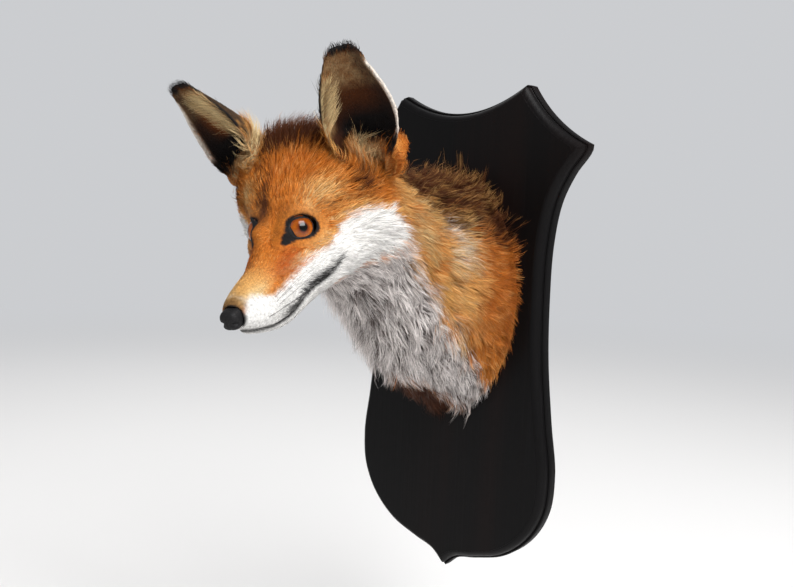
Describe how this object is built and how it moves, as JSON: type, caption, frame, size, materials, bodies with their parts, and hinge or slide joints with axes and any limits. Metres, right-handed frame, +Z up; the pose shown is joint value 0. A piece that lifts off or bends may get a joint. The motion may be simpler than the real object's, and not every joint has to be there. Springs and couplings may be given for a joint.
{
  "type": "taxidermy red fox head wall mount",
  "caption": "Life-size mounted red fox head and neck, turned and bowed to one side, ears raised, on a black-stained shield plaque that hangs on a wall.",
  "frame": {"origin": "middle of the plaque's flat back face, on its upright centre line and at half its height", "axes": "+Y into the wall, out of the plaque's back; +Z up the plaque; +X along the wall, to the right of a viewer who faces it; the neck comes out along -Y"},
  "size_m": [0.235, 0.2736, 0.4],
  "materials": {
    "plaque_wood": "black-stained, satin, faint upright grain",
    "coat_body": "long ruffled orange-tan fur, silvery grey at the throat",
    "coat_face": "short red-orange fur with white lips and cheeks",
    "coat_white": "short white fur with a black lip line",
    "coat_ear": "short brown fur, black tips, cream long hairs inside",
    "nose_skin": "black pebbled skin, glossy",
    "glass_eye": "polished amber glass with a dark pupil"
  },
  "bodies": {
    "root": {"plaque": "plaque_wood", "shoulder": "coat_body", "neck": "coat_body", "head": "coat_face", "lower_jaw": "coat_white", "nose": "nose_skin", "ear_left": "coat_ear", "ear_right": "coat_ear", "eye_left": "glass_eye", "eye_right": "glass_eye"}
  },
  "joints": []
}
